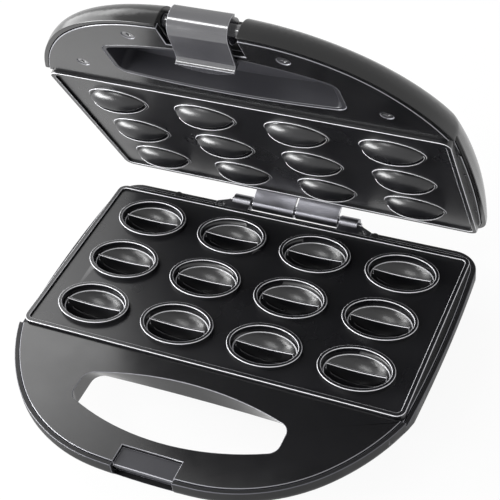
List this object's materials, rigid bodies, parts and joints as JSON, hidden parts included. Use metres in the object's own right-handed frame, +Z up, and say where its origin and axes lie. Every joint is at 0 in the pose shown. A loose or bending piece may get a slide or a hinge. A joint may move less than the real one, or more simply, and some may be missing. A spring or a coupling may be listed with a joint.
{
  "type": "walnut cookie maker",
  "caption": "Electric mould iron for nut-shaped filled cookies: hinged domed lid, D-shaped grips, a mould plate facing a bump plate, and a swinging latch.",
  "frame": {"origin": "centre of the whole part's box, on the plane the feet stand on", "axes": "+Z up, +Y to the rear, where the hinge is, +X to the right seen from the grip side"},
  "size_m": [0.226, 0.226, 0.2208],
  "materials": {
    "satin_black": "satin black moulded plastic",
    "gloss_black": "high-gloss black moulded plastic",
    "nonstick": "cast aluminium with a dark satin non-stick coating",
    "heater_tube": "dull steel tube",
    "shield_sheet": "aluminised steel sheet",
    "zinc_screw": "zinc-plated steel",
    "thermostat_can": "drawn metal can",
    "ceramic": "white ceramic sleeve",
    "terminal_body": "pale thermoset",
    "terminal_brass": "plain brass",
    "catch_grey": "satin dark grey plastic",
    "latch_grey": "dark grey plastic with a soft shine",
    "black_rubber": "soft black rubber",
    "bracket_grey": "grey plated steel",
    "barrel_steel": "bright plated steel",
    "pin_steel": "drawn steel wire",
    "red_lens": "clear red plastic",
    "green_lens": "clear green plastic",
    "lamp_glass": "small glass lamp"
  },
  "bodies": {
    "base": {"lower_housing": "satin_black", "lower_deck": "satin_black", "lower_plate": "nonstick", "lower_heater": "heater_tube", "lower_heat_shield": "shield_sheet", "lower_plate_screws": "zinc_screw", "thermostat": "thermostat_can", "thermal_fuse": "ceramic", "terminal_block": "terminal_body", "terminal_screws": "terminal_brass", "latch_catch": "catch_grey", "base_screws": "zinc_screw", "rubber_feet": "black_rubber", "cord_grommet": "black_rubber", "hinge_bracket_left": "bracket_grey", "hinge_bracket_right": "bracket_grey", "hinge_pin": "pin_steel", "base_hinge_screws": "zinc_screw", "rear_stops": "black_rubber"},
    "lid": {"upper_shell": "gloss_black", "upper_deck": "satin_black", "upper_grip_cup": "satin_black", "upper_plate": "nonstick", "upper_heater": "heater_tube", "upper_heat_shield": "shield_sheet", "upper_plate_screws": "zinc_screw", "upper_deck_screws": "zinc_screw", "lid_hinge_bracket": "barrel_steel", "lid_hinge_screws": "zinc_screw", "power_lens": "red_lens", "ready_lens": "green_lens", "indicator_lamps": "lamp_glass", "latch_pin": "pin_steel"},
    "latch": {"latch": "latch_grey"}
  },
  "joints": [
    {"name": "lid_hinge", "type": "hinge", "parent": "base", "child": "lid", "pos_m": [0, 0.088, 0.0356], "axis": [-1, 0, 0], "range_deg": [-62, 40]},
    {"name": "latch_swing", "type": "hinge", "parent": "lid", "child": "latch", "pos_m": [0, 0.00983, 0.21285], "axis": [1, 0, 0], "range_deg": [-79, 0]}
  ]
}
